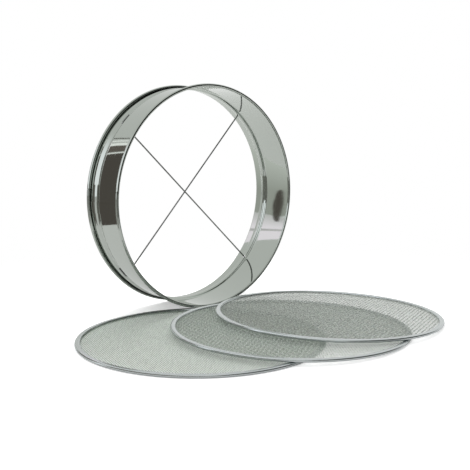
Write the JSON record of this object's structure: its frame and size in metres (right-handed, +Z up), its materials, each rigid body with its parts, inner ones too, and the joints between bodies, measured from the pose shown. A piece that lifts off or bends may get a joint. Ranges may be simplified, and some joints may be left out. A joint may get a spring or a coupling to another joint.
{
  "type": "drum sieve",
  "caption": "Drum sieve: a steel hoop with rolled rims, a pressed bead and crossed wires, standing on its wall behind a fanned stack of loose round mesh discs.",
  "frame": {"origin": "on the table, under the middle of everything", "axes": "+Z up, +Y from the hoop's mouth to its foot, +X to the right seen from in front of the mouth"},
  "size_m": [0.4746, 0.3742, 0.3],
  "materials": {
    "hoop_steel": "polished stainless steel",
    "disc_rim_steel": "polished stainless steel",
    "wire_steel": "bright drawn stainless wire",
    "mesh_steel": "woven stainless wire cloth"
  },
  "bodies": {
    "hoop": {"hoop_band": "hoop_steel", "mouth_rim_wire": "wire_steel", "foot_rim_wire": "wire_steel", "front_cross_wire": "wire_steel", "back_cross_wire": "wire_steel"},
    "fine_disc": {"fine_disc_rim": "disc_rim_steel", "fine_disc_core_ring": "wire_steel", "fine_disc_net": "mesh_steel"},
    "medium_disc": {"medium_disc_rim": "disc_rim_steel", "medium_disc_core_ring": "wire_steel", "medium_disc_net": "mesh_steel"},
    "coarse_disc": {"coarse_disc_rim": "disc_rim_steel", "coarse_disc_core_ring": "wire_steel", "coarse_disc_net": "mesh_steel"}
  },
  "joints": [
    {"name": "fine_disc_slide", "type": "slide", "parent": "hoop", "child": "fine_disc", "axis": [0, -1, 0], "range_m": [0, 0.12]},
    {"name": "medium_disc_lift", "type": "slide", "parent": "fine_disc", "child": "medium_disc", "axis": [0, 0, 1], "range_m": [0, 0.12]},
    {"name": "coarse_disc_lift", "type": "slide", "parent": "medium_disc", "child": "coarse_disc", "axis": [0, 0, 1], "range_m": [0, 0.12]}
  ]
}
